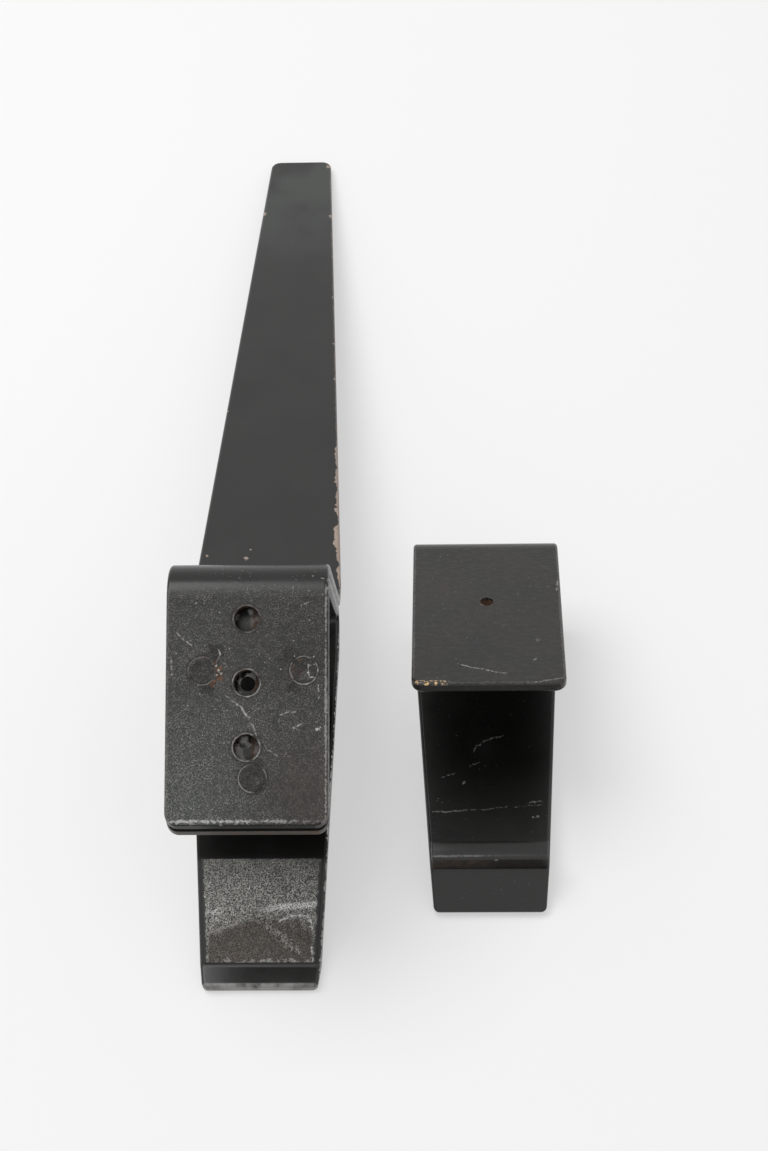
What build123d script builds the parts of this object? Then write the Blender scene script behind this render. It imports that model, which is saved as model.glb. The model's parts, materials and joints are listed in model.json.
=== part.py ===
# Two-piece hook latch bent from flat steel bar: a lever hook with a long handle, and its keeper hook.
# Frame: +Z up from the table, X across both pieces, Y away from the two mouths.
# The origin is on the table, in the middle of the whole pair. Lengths are millimetres, angles degrees.
import os
from math import asin, atan2, cos, hypot, radians, degrees, sin, tan

from build123d import *

# Flat bar that every strip is bent from
bar_width = 38.0
bar_thickness = 3.0
inner_bend_radius = 3.0
edge_round = 0.9
plate_corner_radius = 3.0
leg_angle = 87.0

# Lever hook, which rests on its flat lip and on the handle's end
lever_tilt = 27.3
lever_plate_length = 60.5
lever_leg_length = 47.0
lever_jaw_length = 91.3
lever_jaw_slope = 22.0
lever_lip_length = 6.2
plate_end_lean = 23.0

# Keeper hook, which rests on its foot bend and on its lip
keeper_plate_length = 60.0
keeper_leg_length = 32.0
keeper_jaw_length = 77.0
keeper_jaw_opening = 12.0
keeper_lip_length = 10.0
keeper_lip_drop = 35.0

# Taper of both jaws to the rim, on to the lip's end, and how far the cuts reach above and below
rim_inset = 4.0
rim_setback = 0.6
rim_blend_radius = 5.0
lip_inset = 1.0
lip_corner_radius = 1.5
taper_reach = 12.0

# Handle, the far end of the outer strip
handle_length = 198.5
handle_end_width = 19.0
handle_corner_radius = 3.0

# Holes and rivets in the plates, measured back from the plates' squared-off fronts
screw_hole_diameter = 6.0
screw_hole_pitch = 15.0
screw_hole_setback = 34.2
hook_hole_diameter = 3.5
keeper_hole_setback = 31.5

# Rivets that join the two plates of the lever
rivet_diameter = 6.0
rivet_fit = 0.05
rivet_sink = 0.15
rivet_rim = 0.25
rivet_head_diameter = 9.5
rivet_head_height = 2.0
rivet_head_round = 1.2
rivet_edge_margin = 7.1
rivet_shift = 1.5
rivet_row_setback = 37.0
rivet_lower_setback = 12.0

# Grip pad on the lever's jaw and stop bar on the keeper's jaw
grip_pad_length = 25.4
grip_pad_thickness = 1.5
grip_pad_inset = 1.2
grip_pad_setback = 1.3
stop_bar_size = 5.0
stop_bar_inset = 0.5
stop_bar_setback = -0.9
pad_round = 0.4

# Places and small clearances
layer_gap = 0.1
seat_gap = 0.05
piece_spacing = 56.8
keeper_setback = 21.7

os.makedirs("parts", exist_ok=True)


# Side geometry: points are (Y, Z), and a heading is an angle from +Y towards +Z

def heading(angle):
    return Vector(cos(radians(angle)), sin(radians(angle)))


def left_of(direction):
    return Vector(-direction.Y, direction.X)


def outset(corner, before, after, distance):
    """Move a corner off to the left of the two runs that meet there."""
    first = left_of(before)
    second = left_of(after)
    return corner + (first + second) * (distance / (1 + first.dot(second)))


def run_plane(x, point, direction):
    """A plane that lies on a run of strip: its Y follows the direction, its X is the part's X."""
    normal = left_of(direction)
    return Plane(
        origin=(x, point.X, point.Y),
        x_dir=(1, 0, 0),
        z_dir=(0, normal.X, normal.Y),
    )


lever_x = -piece_spacing / 2
keeper_x = piece_spacing / 2
outer_bend_radius = inner_bend_radius + bar_thickness
rim_half_width = bar_width / 2 - rim_inset
lip_half_width = rim_half_width - lip_inset
rivet_half_span = bar_width / 2 - rivet_edge_margin

# Lever side outline, from the lip's tip back to the plate, on the strip's outer face
plate_run = heading(180 + lever_tilt)
leg_run = heading(180 + lever_tilt + leg_angle)
jaw_run = heading(180 + lever_jaw_slope)
lip_run = heading(180)
lever_tip = Vector(0, 0)
lever_rim = lever_tip - lip_run * lever_lip_length
lever_foot = lever_rim - jaw_run * lever_jaw_length
lever_bend = lever_foot - leg_run * lever_leg_length
lever_front = lever_bend + plate_run * lever_plate_length

# Handle strip: it wraps the lever's plate and leg on the outside, then slopes down until the
# rounded lower edge of its end touches the table
wrap = bar_thickness + layer_gap
strip_front = lever_front + left_of(plate_run * -1) * wrap
strip_bend = outset(lever_bend, plate_run * -1, leg_run, wrap)
strip_foot = lever_foot + left_of(leg_run) * wrap
end_along = handle_length - edge_round
end_below = bar_thickness - edge_round
end_drop = asin((strip_foot.Y - edge_round) / hypot(end_along, end_below))
handle_slope = degrees(end_drop - atan2(end_below, end_along))
handle_run = heading(-handle_slope)
handle_end = strip_foot + handle_run * handle_length

# The pair is centred on its length, and the keeper stands beside the lever's jaw
half_length = handle_end.X / 2
to_middle = Vector(-half_length, 0)
lever_points = [p + to_middle for p in (lever_front, lever_bend, lever_foot, lever_rim, lever_tip)]
strip_points = [p + to_middle for p in (strip_front, strip_bend, strip_foot, handle_end)]

# Keeper side outline: the jaw's slope lets the foot bend and the lip's rounded end both touch the
# table. The lip's place is worked out from the middle of the foot bend to that of the rounded end.
foot_turn = leg_angle - keeper_jaw_opening
foot_tangent = outer_bend_radius * tan(radians(foot_turn / 2))
drop_run = heading(keeper_lip_drop)
lip_run_length = keeper_lip_length - edge_round
lip_along = keeper_jaw_length - foot_tangent + lip_run_length * drop_run.X + edge_round * drop_run.Y
lip_below = outer_bend_radius + lip_run_length * drop_run.Y - edge_round * drop_run.X
touch_angle = asin((outer_bend_radius - edge_round) / hypot(lip_along, lip_below))
keeper_rise = degrees(atan2(lip_below, lip_along) - touch_angle)
keeper_jaw_run = heading(180 - keeper_rise)
keeper_lip_run = heading(180 - keeper_rise + keeper_lip_drop)
keeper_plate_run = heading(180 - keeper_rise - keeper_jaw_opening)
keeper_leg_run = heading(180 - keeper_rise - keeper_jaw_opening + leg_angle)
lip_lean = heading(keeper_lip_drop - keeper_rise)
keeper_tip = Vector(keeper_setback, edge_round * (1 - lip_lean.X - lip_lean.Y)) + to_middle
keeper_rim = keeper_tip - keeper_lip_run * keeper_lip_length
keeper_foot = keeper_rim - keeper_jaw_run * keeper_jaw_length
keeper_bend = keeper_foot - keeper_leg_run * keeper_leg_length
keeper_front = keeper_bend + keeper_plate_run * keeper_plate_length
keeper_points = [keeper_front, keeper_bend, keeper_foot, keeper_rim, keeper_tip]


def side_profile(x, points, radii):
    """Fold the bar's side view along its outer face; its thickness lies to the right of the path."""
    with BuildSketch(Plane.YZ.offset(x)) as profile:
        with BuildLine():
            FilletPolyline(*points, radius=radii)
            offset(amount=bar_thickness, side=Side.RIGHT)
        make_face()
    return profile.sketch


def run_past(before, end):
    """A point on the line through two points, beyond the second one by the cuts' reach."""
    share = taper_reach / abs(end[1] - before[1])
    return (end[0] + share * (end[0] - before[0]), end[1] + share * (end[1] - before[1]))


def side_waste(plane, *edge):
    """What is cut from both edges of a run, outside a line of (half width, place along the run) points."""
    outside = bar_width / 2 + taper_reach
    with BuildSketch(plane) as waste:
        with BuildLine():
            if len(edge) > 2:
                FilletPolyline(*edge, radius=rim_blend_radius)
            else:
                Line(*edge)
            Polyline(edge[-1], (outside, edge[-1][1]), (outside, edge[0][1]), edge[0])
        make_face()
        mirror(about=Plane.YZ)
    return waste.sketch


def jaw_half_width(along, jaw):
    """Half the jaw's width at a distance from its rim, on the straight taper up to the foot."""
    taper_length = jaw - 2 * outer_bend_radius - rim_setback
    return rim_half_width + rim_inset * (along - rim_setback) / taper_length


def jaw_waste(plane, jaw, lip):
    """What is cut from both edges of a jaw: a taper to the rim, and a steeper one on past the lip's end."""
    foot = (bar_width / 2, jaw - 2 * outer_bend_radius)
    rim = (rim_half_width, rim_setback)
    return side_waste(plane, foot, rim, run_past(rim, (lip_half_width, -lip)))


def pad_outline(plane, jaw, near, length, inset):
    """A pad's outline on a jaw: it keeps the same inset from both tapering edges."""
    far = near + length
    near_half = jaw_half_width(near, jaw) - inset
    far_half = jaw_half_width(far, jaw) - inset
    with BuildSketch(plane) as outline:
        with BuildLine():
            Polyline((-near_half, near), (near_half, near), (far_half, far), (-far_half, far), close=True)
        make_face()
    return outline.sketch


def end_corners(strip, x, end, run):
    """The two edges through the bar at one end of a strip, where its corners are rounded."""
    middle = end - left_of(run) * (bar_thickness / 2)
    end_face = strip.faces().sort_by_distance(Vector(x, middle.X, middle.Y)).first
    return end_face.edges().sort_by(SortBy.LENGTH)[:2]


def bar_edges(strip):
    """The edges along both sides of a strip, where its broad faces meet its narrow ones."""
    pick_angle = radians(30)
    narrow = strip.faces().filter_by(lambda face: abs(face.normal_at().X) > cos(pick_angle))
    broad = strip.faces().filter_by(lambda face: abs(face.normal_at().X) < sin(pick_angle))
    return [edge for edge in narrow.edges() if edge in broad.edges()]


# Both plates of the lever end on one leaning plane, through the place where the two strips meet.
# The inner strip is made longer there, and what stands in front of the plane is cut off both.
end_lean_run = heading(lever_tilt - plate_end_lean - 90)
end_spare = plate_run * (2 * bar_thickness * tan(radians(plate_end_lean)))
with BuildSketch(run_plane(lever_x, lever_points[0], end_lean_run)) as end_waste:
    Rectangle(2 * bar_width, 2 * (bar_thickness + wrap))

# Lever hook: plate, leg, jaw and flat lip in one strip
lever_plate_plane = run_plane(lever_x, lever_points[0], plate_run * -1)
lever_jaw_plane = run_plane(lever_x, lever_points[3], jaw_run * -1)
rivet_places = {
    "rivet_left": (rivet_shift - rivet_half_span, rivet_row_setback),
    "rivet_right": (rivet_shift + rivet_half_span, rivet_row_setback),
    "rivet_lower": (rivet_shift, rivet_lower_setback),
}
rivet_hole_radius = rivet_diameter / 2 + rivet_fit

with BuildPart() as lever_clip:
    lever_path = [lever_points[0] + end_spare, *lever_points[1:]]
    lever_profile = side_profile(lever_x, lever_path, outer_bend_radius)
    extrude(lever_profile, amount=bar_width / 2, both=True)
    extrude(end_waste.sketch, amount=-taper_reach, mode=Mode.SUBTRACT)
    lever_waste = jaw_waste(lever_jaw_plane, lever_jaw_length, lever_lip_length)
    extrude(lever_waste, amount=taper_reach, both=True, mode=Mode.SUBTRACT)
    fillet(end_corners(lever_clip, lever_x, lever_points[0], plate_run * -1), plate_corner_radius)
    fillet(end_corners(lever_clip, lever_x, lever_points[4], lip_run), lip_corner_radius)
    fillet(bar_edges(lever_clip), edge_round)
    with BuildSketch(lever_plate_plane):
        with Locations((0, screw_hole_setback)):
            Circle(hook_hole_diameter / 2)
        with Locations(*rivet_places.values()):
            Circle(rivet_hole_radius)
    extrude(amount=-2 * bar_thickness, mode=Mode.SUBTRACT)
lever_clip.part.label = "lever_clip"
export_step(lever_clip.part, "parts/lever_clip.step")

# Handle strip: front plate with three screw holes, leg, and the tapering handle
front_plane = run_plane(lever_x, strip_points[0], plate_run * -1)
handle_plane = run_plane(lever_x, strip_points[2], handle_run)
front_axis = Axis(front_plane.origin, front_plane.z_dir)

with BuildPart() as handle_strip:
    strip_profile = side_profile(
        lever_x, strip_points, [outer_bend_radius + wrap, inner_bend_radius]
    )
    extrude(strip_profile, amount=bar_width / 2, both=True)
    extrude(end_waste.sketch, amount=-taper_reach, mode=Mode.SUBTRACT)
    handle_start = (bar_width / 2, outer_bend_radius)
    handle_tip = (handle_end_width / 2, handle_length)
    handle_waste = side_waste(handle_plane, handle_start, run_past(handle_start, handle_tip))
    extrude(handle_waste, amount=taper_reach, both=True, mode=Mode.SUBTRACT)
    fillet(end_corners(handle_strip, lever_x, strip_points[0], plate_run * -1), plate_corner_radius)
    fillet(end_corners(handle_strip, lever_x, strip_points[3], handle_run), handle_corner_radius)
    fillet(bar_edges(handle_strip), edge_round)
    with BuildSketch(front_plane):
        with Locations((0, screw_hole_setback)):
            with GridLocations(0, screw_hole_pitch, 1, 3):
                Circle(screw_hole_diameter / 2)
        with Locations(*rivet_places.values()):
            Circle(rivet_hole_radius)
    extrude(amount=-2 * bar_thickness, mode=Mode.SUBTRACT)
handle_strip.part.label = "handle_strip"
export_step(handle_strip.part, "parts/handle_strip.step")

# Rivets: flush in the front plate, with a low formed head inside the hook
plates_depth = bar_thickness + wrap + seat_gap
for rivet_name, rivet_place in rivet_places.items():
    with BuildPart() as rivet:
        with BuildSketch(front_plane.offset(-rivet_sink)):
            with Locations(rivet_place):
                Circle(rivet_diameter / 2)
        extrude(amount=rivet_sink - plates_depth)
        chamfer(rivet.faces().sort_by(front_axis).last.edges(), rivet_rim)
        with BuildSketch(front_plane.offset(-plates_depth)):
            with Locations(rivet_place):
                Circle(rivet_head_diameter / 2)
        extrude(amount=-rivet_head_height)
        fillet(rivet.faces().sort_by(front_axis).first.edges(), rivet_head_round)
    rivet.part.label = rivet_name
    export_step(rivet.part, f"parts/{rivet_name}.step")

# Grip pad: the rough layer on the lever's jaw, ending just short of its rim
with BuildPart() as grip_pad:
    grip_plane = lever_jaw_plane.offset(bar_thickness + seat_gap)
    grip_outline = pad_outline(
        grip_plane, lever_jaw_length, grip_pad_setback, grip_pad_length, grip_pad_inset
    )
    extrude(grip_outline, amount=grip_pad_thickness)
    grip_axis = Axis(grip_plane.origin, grip_plane.z_dir)
    fillet(grip_pad.faces().sort_by(grip_axis).last.edges(), pad_round)
grip_pad.part.label = "grip_pad"
export_step(grip_pad.part, "parts/grip_pad.step")

# Keeper hook: plate, leg, jaw and dropped lip in one strip
keeper_plate_plane = run_plane(keeper_x, keeper_points[0], keeper_plate_run * -1)
keeper_jaw_plane = run_plane(keeper_x, keeper_points[3], keeper_jaw_run * -1)

with BuildPart() as keeper_clip:
    keeper_profile = side_profile(
        keeper_x, keeper_points, [outer_bend_radius, outer_bend_radius, inner_bend_radius]
    )
    extrude(keeper_profile, amount=bar_width / 2, both=True)
    keeper_waste = jaw_waste(keeper_jaw_plane, keeper_jaw_length, keeper_lip_length)
    extrude(keeper_waste, amount=taper_reach, both=True, mode=Mode.SUBTRACT)
    fillet(end_corners(keeper_clip, keeper_x, keeper_points[0], keeper_plate_run * -1), plate_corner_radius)
    fillet(end_corners(keeper_clip, keeper_x, keeper_points[4], keeper_lip_run), lip_corner_radius)
    fillet(bar_edges(keeper_clip), edge_round)
    with BuildSketch(keeper_plate_plane):
        with Locations((0, keeper_hole_setback)):
            Circle(hook_hole_diameter / 2)
    extrude(amount=-2 * bar_thickness, mode=Mode.SUBTRACT)
keeper_clip.part.label = "keeper_clip"
export_step(keeper_clip.part, "parts/keeper_clip.step")

# Stop bar: a square bar across the keeper's jaw, with its front at the top of the lip's bend
with BuildPart() as stop_bar:
    stop_plane = keeper_jaw_plane.offset(bar_thickness + seat_gap)
    stop_outline = pad_outline(
        stop_plane, keeper_jaw_length, stop_bar_setback, stop_bar_size, stop_bar_inset
    )
    extrude(stop_outline, amount=stop_bar_size)
    stop_axis = Axis(stop_plane.origin, stop_plane.z_dir)
    fillet(stop_bar.faces().sort_by(stop_axis).last.edges(), pad_round)
stop_bar.part.label = "stop_bar"
export_step(stop_bar.part, "parts/stop_bar.step")
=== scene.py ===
"""Looks of a hook latch: two hooks folded from flat bar, one of them with a long riveted handle."""

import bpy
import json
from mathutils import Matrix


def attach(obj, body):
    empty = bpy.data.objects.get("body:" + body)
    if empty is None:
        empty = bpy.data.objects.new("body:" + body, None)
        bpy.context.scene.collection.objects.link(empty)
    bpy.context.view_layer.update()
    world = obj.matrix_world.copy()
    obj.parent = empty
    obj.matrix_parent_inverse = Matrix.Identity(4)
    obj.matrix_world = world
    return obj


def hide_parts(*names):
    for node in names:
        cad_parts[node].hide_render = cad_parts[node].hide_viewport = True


bl_info = {
    "name": "Hook Latch",
    "version": (1, 0, 0),
    "blender": (4, 5, 0),
    "location": "3D View > Sidebar > Hook Latch",
    "description": "Worn black paint, rivets, grip lining and stop bar for a folded hook latch",
    "category": "Add Mesh",
}

import json
from math import atan2, cos, radians, sin, tan

import bmesh
import bpy
from bpy.props import FloatProperty, FloatVectorProperty, PointerProperty
from mathutils import Matrix, Vector

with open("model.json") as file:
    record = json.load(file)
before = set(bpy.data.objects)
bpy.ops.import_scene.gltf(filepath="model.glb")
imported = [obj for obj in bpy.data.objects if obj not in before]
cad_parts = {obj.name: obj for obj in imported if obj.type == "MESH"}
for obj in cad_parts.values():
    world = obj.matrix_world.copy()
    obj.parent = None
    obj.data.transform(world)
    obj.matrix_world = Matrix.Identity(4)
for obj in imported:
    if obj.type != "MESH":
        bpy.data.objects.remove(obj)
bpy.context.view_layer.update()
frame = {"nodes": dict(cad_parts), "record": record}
MOUNTS = {mount["name"]: mount for mount in frame["record"]["mounts"]}

MM = 0.001

# The folded strips
HALF_WIDTH = 19 * MM
STRIP_THICKNESS = 3 * MM
STRIP_GAP_DEPTH = 3.05 * MM
PLATE_FRONT = -32.88 * MM
PLATE_END_LEAN = radians(23)
KEEPER_FRONT = -31.5 * MM
HANDLE_LENGTH = 198.5 * MM
HANDLE_END_HALF = 9.5 * MM
HANDLE_TAPER_START = 6 * MM
JAW_RIM_HALF = 15 * MM
JAW_TAPER_LENGTH = 78.7 * MM
LIP_END = -144.736 * MM
SCREW_HOLES = ("screw_hole_upper", "screw_hole_middle", "screw_hole_lower")
SCREW_RADIUS = MOUNTS["screw_hole_middle"]["dims"]["r_mm"] * MM
HOOK_RADIUS = MOUNTS["keeper_hole"]["dims"]["r_mm"] * MM

# The rivets, and the burrs round them and round the holes
RIVET_RADIUS = 3.0 * MM
RIVET_SIDES = 64
RIVET_GRIP = 6.15 * MM
RIVET_HEAD_RADIUS = 4.75 * MM
RIVET_HEAD_HEIGHT = 2.0 * MM
RIVET_HEAD_ROUND = 1.2 * MM
RIVET_RIM = 0.08 * MM
RIVET_RINGS = 5
RIVET_DENT_SIZE = 1.1 * MM
RIM_SEGMENTS = 96
RIM_SIDES = 10
RIM_OUTSET = 0.4
RIM_SINK = 0.35
RIM_ROUGHNESS = 1.1
RIM_GRAIN = 0.9 * MM

# Crumbs of rust beside the left rivet: across, along, half width, half length in mm, and turn
CRUMBS = (
    (-6.3, 7.1, 0.20, 0.85, 0.31), (-6.45, 5.75, 0.27, 1.05, -0.56), (-7.0, 4.3, 0.27, 0.80, -0.13),
    (-6.5, 2.9, 0.46, 0.56, 0.4), (-5.9, 2.2, 0.40, 0.50, -0.5), (-6.8, 1.6, 0.36, 0.46, 0.0),
    (-6.2, 1.2, 0.30, 0.38, 0.3), (-7.5, 0.3, 0.36, 0.50, -0.7), (-8.1, -0.5, 0.38, 0.46, 0.2),
)
CRUMB_FLATNESS = 0.6
CRUMB_ROUGHNESS = 0.35 * MM
CRUMB_GRAIN = 0.45 * MM

# The grip lining on the lever's jaw
LINING_STEP = 0.27 * MM
LINING_NEAR = 1.3 * MM
LINING_LENGTH = 25.4 * MM
LINING_THICKNESS = 1.5 * MM
LINING_BASE = 3.05 * MM
LINING_NEAR_HALF = 13.84 * MM
LINING_FAR_HALF = 15.13 * MM
LINING_EDGE_DROP = 0.4 * MM
LINING_EDGE_WIDTH = 0.8 * MM
LINING_GRAIN_SIZE = 0.55 * MM
RIDGE_PLACE = 14.45 * MM
RIDGE_SLANT = 0.07
RIDGE_HALF_WIDTH = 0.75 * MM
RIDGE_LEFT_SHARE = 0.25
RIDGE_RISE_START = -6 * MM
RIDGE_RISE_LENGTH = 12 * MM

# The stop bar on the keeper's jaw
BAR_NEAR = -0.9 * MM
BAR_LENGTH = 5 * MM
BAR_THICKNESS = 5 * MM
BAR_BASE = 3.05 * MM
BAR_TOP = BAR_BASE + BAR_THICKNESS
BAR_NEAR_HALF = 14.41 * MM
BAR_FAR_HALF = 14.72 * MM
BAR_ROUND = 0.5 * MM
BAR_CUTS = 5
BAR_DENTS = 0.10 * MM
BAR_DENT_SIZE = 1.6 * MM

TOUCHING = 0.01 * MM
ROUND_SEGMENTS = 5
SMOOTH_ANGLE = radians(35)

# Finishes that are the same all over
PAINT_SPECULAR = 0.42
LINING_GRIT = (0.58, 0.573, 0.53, 1)
LINING_RUBBED = (0.78, 0.775, 0.76, 1)
LINING_BROWN = (0.018, 0.0125, 0.0095, 1)
LINING_BROWN_GRIT = (0.17, 0.138, 0.112, 1)

# The stage
TABLE_SIZE = 8
TABLE_TONES = ((0.915, 0.915, 0.915, 1), (0.935, 0.934, 0.932, 1))
TABLE_ROUGHNESS = 0.6
TABLE_SPECULAR = 0.2
KEY_PLACE = (-0.42, 0.22, 1.05)
KEY_SIZE = 0.75
SENSOR_HEIGHT = 36


class Face:
    """A flat face of the latch. Its X runs across the bar, its Y towards the fold, its Z outwards."""

    def __init__(self, origin, tilt):
        self.origin = Vector(origin)
        self.tilt = tilt

    def frame(self):
        return Matrix.Translation(self.origin) @ Matrix.Rotation(self.tilt, 4, "X")

    def local(self, point):
        return self.frame().inverted() @ Vector(point)


def hole_face(mount_name):
    """The plate's outer face around a hole, with its origin in the middle of the hole's mouth."""
    mount = MOUNTS[mount_name]
    axis = Vector(mount["axis"])
    mouth = Vector(mount["pos_m"]) + axis * (mount["dims"]["length_mm"] * MM / 2)
    return Face(mouth, atan2(-axis.y, axis.z))


PLATE = hole_face("screw_hole_middle")
KEEPER = hole_face("keeper_hole")
HANDLE = Face((PLATE.origin.x, -51.06 * MM, 35.48 * MM), radians(-9.468))
JAW = Face((PLATE.origin.x, -138.54 * MM, 0), radians(22))
KEEPER_JAW = Face((KEEPER.origin.x, -114.48 * MM, 4.84 * MM), radians(-3.8234))


def plate_place(name):
    """The place of a screw hole's or a rivet's axis on the front plate, with no height."""
    if name in MOUNTS:
        place = PLATE.local(MOUNTS[name]["pos_m"])
        return (place.x, place.y, 0)
    points = [PLATE.local(vert.co) for vert in frame["nodes"][name].data.vertices]
    across = [point.x for point in points]
    along = [point.y for point in points]
    return ((min(across) + max(across)) / 2, (min(along) + max(along)) / 2, 0)


class LatchFinish(bpy.types.PropertyGroup):
    """Colours of the latch's finishes"""

    paint: FloatVectorProperty(
        name="Paint", description="Satin black paint on both hooks",
        subtype="COLOR", size=4, default=(0.0130, 0.0126, 0.0120, 1))
    speck: FloatVectorProperty(
        name="Speck", description="Light grains where the paint is worn thin",
        subtype="COLOR", size=4, default=(0.20, 0.195, 0.178, 1))
    primer: FloatVectorProperty(
        name="Primer", description="Pinkish undercoat that shows where paint is chipped off",
        subtype="COLOR", size=4, default=(0.37, 0.295, 0.25, 1))
    steel: FloatVectorProperty(
        name="Steel", description="Bare steel on worn edges and in scratches",
        subtype="COLOR", size=4, default=(0.43, 0.42, 0.405, 1))
    brass: FloatVectorProperty(
        name="Brassy wear", description="Warm wear on the keeper's front edge",
        subtype="COLOR", size=4, default=(0.66, 0.42, 0.17, 1))
    brown: FloatVectorProperty(
        name="Brown film", description="Old brown staining over the paint",
        subtype="COLOR", size=4, default=(0.050, 0.031, 0.021, 1))
    rust: FloatVectorProperty(
        name="Rust", description="Rust in the holes and beside the left rivet",
        subtype="COLOR", size=4, default=(0.20, 0.092, 0.040, 1))
    # Painted shade: a dark colour without sheen, painted into the gaps, the holes, the raw ends and under
    # the plates; on the rivets, burrs and stop bar it only makes the paint duller and darker
    soot_and_shade: FloatVectorProperty(
        name="Soot", description="Greasy soot without sheen in gaps, holes and on the raw ends",
        subtype="COLOR", size=4, default=(0.006, 0.0055, 0.005, 1))
    haze: FloatVectorProperty(
        name="Haze", description="Dusty grey bloom on the paint",
        subtype="COLOR", size=4, default=(0.036, 0.041, 0.037, 1))
    lining: FloatVectorProperty(
        name="Lining", description="Grey of the rough grip lining",
        subtype="COLOR", size=4, default=(0.024, 0.0232, 0.021, 1))


class LatchSizes(bpy.types.PropertyGroup):
    """Sizes of the details that are modelled on the latch"""

    rivet_sink: FloatProperty(
        name="Rivet sink", description="How far a rivet's face lies under the plate's face",
        unit="LENGTH", default=0.03 * MM)
    rim_height: FloatProperty(
        name="Rim height", description="Thickness of the raised burr round a hole",
        unit="LENGTH", default=0.11 * MM)
    lining_grain: FloatProperty(
        name="Lining grain", description="Height of the grip lining's grains",
        unit="LENGTH", default=0.22 * MM)
    lining_ridge: FloatProperty(
        name="Lining ridge", description="Height of the ridge across the grip lining",
        unit="LENGTH", default=0.35 * MM)


class LatchStage(bpy.types.PropertyGroup):
    """Camera and light"""

    pitch: FloatProperty(
        name="Pitch", description="How far the camera looks down",
        subtype="ANGLE", default=radians(54.323))
    azimuth: FloatProperty(
        name="Azimuth", description="Camera's turn about the vertical",
        subtype="ANGLE", default=radians(-3.345))
    roll: FloatProperty(
        name="Roll", description="Camera's turn about its view",
        subtype="ANGLE", default=radians(-3.218))
    distance: FloatProperty(
        name="Distance", description="From the camera to the point it looks at",
        unit="LENGTH", default=0.58854)
    target: FloatVectorProperty(
        name="Target", description="The point the camera looks at",
        subtype="TRANSLATION", unit="LENGTH", default=(0.41 * MM, -19.125 * MM, 0))
    lens: FloatProperty(
        name="Lens", description="Focal length for a 36 mm high sensor, in millimetres", default=65.68)
    key_power: FloatProperty(
        name="Key power", description="Power of the soft light above and to the left",
        unit="POWER", default=6.0)
    sky: FloatProperty(
        name="Sky", description="Strength of the even light from all round", default=0.56)
    whiteness: FloatProperty(
        name="Table whiteness", description="How far the table's look is drawn to white",
        subtype="FACTOR", default=0.45)


GROUPS = {}
VECTOR = "NodeSocketVector"
FLOAT = "NodeSocketFloat"
COLOR = "NodeSocketColor"


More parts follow.
